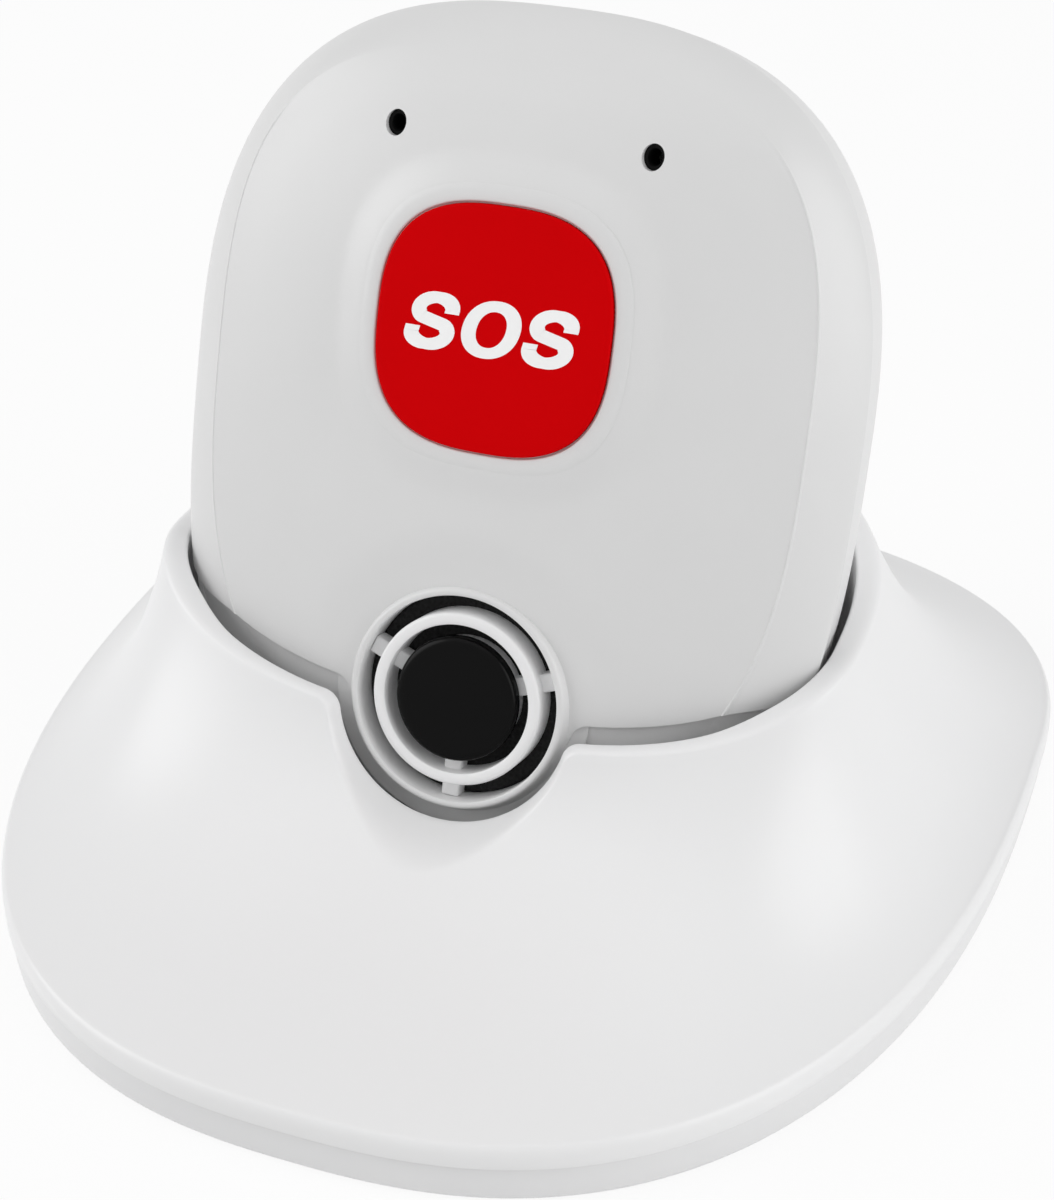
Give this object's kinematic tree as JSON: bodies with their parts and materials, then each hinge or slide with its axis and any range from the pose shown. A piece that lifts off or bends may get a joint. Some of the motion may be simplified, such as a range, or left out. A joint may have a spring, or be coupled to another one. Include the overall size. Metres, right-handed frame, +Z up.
{
  "type": "emergency call pendant with charging cradle",
  "caption": "Wearable call pendant with a square red button and a round loudspeaker grille, leaning in a flared white charging cradle.",
  "frame": {"origin": "middle of the foot outline on the table", "axes": "+Z up, -Y towards the front of the cradle, +X to the right seen from the front"},
  "size_m": [0.0762, 0.083, 0.0608],
  "materials": {
    "white_gloss": "glossy moulded white",
    "white_matte": "moulded white",
    "rubber": "matte",
    "steel": "plated",
    "circuit_board": "green solder mask",
    "black_plastic": "satin",
    "gold_contact": "gold plated",
    "pendant_grey": "satin light grey",
    "red_plastic": "satin red",
    "battery_wrap": "foil pouch",
    "cone_paper": "pressed cone",
    "magnet": "plated",
    "black_mesh": "woven",
    "black_gloss": "glossy",
    "aluminium_can": "drawn",
    "clear_plastic": "clear moulded"
  },
  "bodies": {
    "cradle": {"cradle_top_shell": "white_gloss", "cradle_base_plate": "white_matte", "rubber_feet": "rubber", "base_screws": "steel", "charger_board": "circuit_board", "dc_jack_housing": "black_plastic", "dc_jack_pin": "steel", "contact_carrier": "white_matte", "contact_board": "circuit_board", "contact_springs": "steel"},
    "pin_left": {"contact_pin_left": "gold_contact"},
    "pin_right": {"contact_pin_right": "gold_contact"},
    "pendant": {"pendant_front_case": "pendant_grey", "pendant_rear_case": "pendant_grey", "case_seal": "rubber", "case_screws": "steel", "switch_housing": "black_plastic", "pendant_board": "circuit_board", "shield_can": "steel", "battery_cell": "battery_wrap", "speaker_basket": "black_plastic", "speaker_cone": "cone_paper", "speaker_magnet": "magnet", "speaker_mesh": "black_mesh", "grille_ring": "pendant_grey", "grille_disc": "black_gloss", "port_sleeves": "black_plastic", "microphone_boot": "rubber", "microphone_capsule": "aluminium_can", "indicator_lamp": "clear_plastic", "pendant_contacts": "gold_contact"},
    "button": {"sos_button": "red_plastic"},
    "plunger": {"switch_plunger": "black_plastic"}
  },
  "joints": [
    {"name": "pendant_lift", "type": "slide", "parent": "cradle", "child": "pendant", "axis": [0, 0.3289, 0.9444], "range_m": [0, 0.04]},
    {"name": "sos_press", "type": "slide", "parent": "pendant", "child": "button", "axis": [0, 0.9444, -0.3289], "range_m": [0, 0.0008], "stiffness_N_per_m": 800, "springref_m": -0.001},
    {"name": "switch_travel", "type": "slide", "parent": "pendant", "child": "plunger", "axis": [0, 0.9444, -0.3289], "range_m": [0, 0.0008]},
    {"name": "pin_left_press", "type": "slide", "parent": "cradle", "child": "pin_left", "axis": [0, 0.9444, -0.3289], "range_m": [0, 0.0006], "stiffness_N_per_m": 400, "springref_m": -0.0005},
    {"name": "pin_right_press", "type": "slide", "parent": "cradle", "child": "pin_right", "axis": [0, 0.9444, -0.3289], "range_m": [0, 0.0006], "stiffness_N_per_m": 400, "springref_m": -0.0005}
  ],
  "couplings": [
    {"joint": "switch_travel", "follows": "sos_press", "ratio": 1}
  ]
}
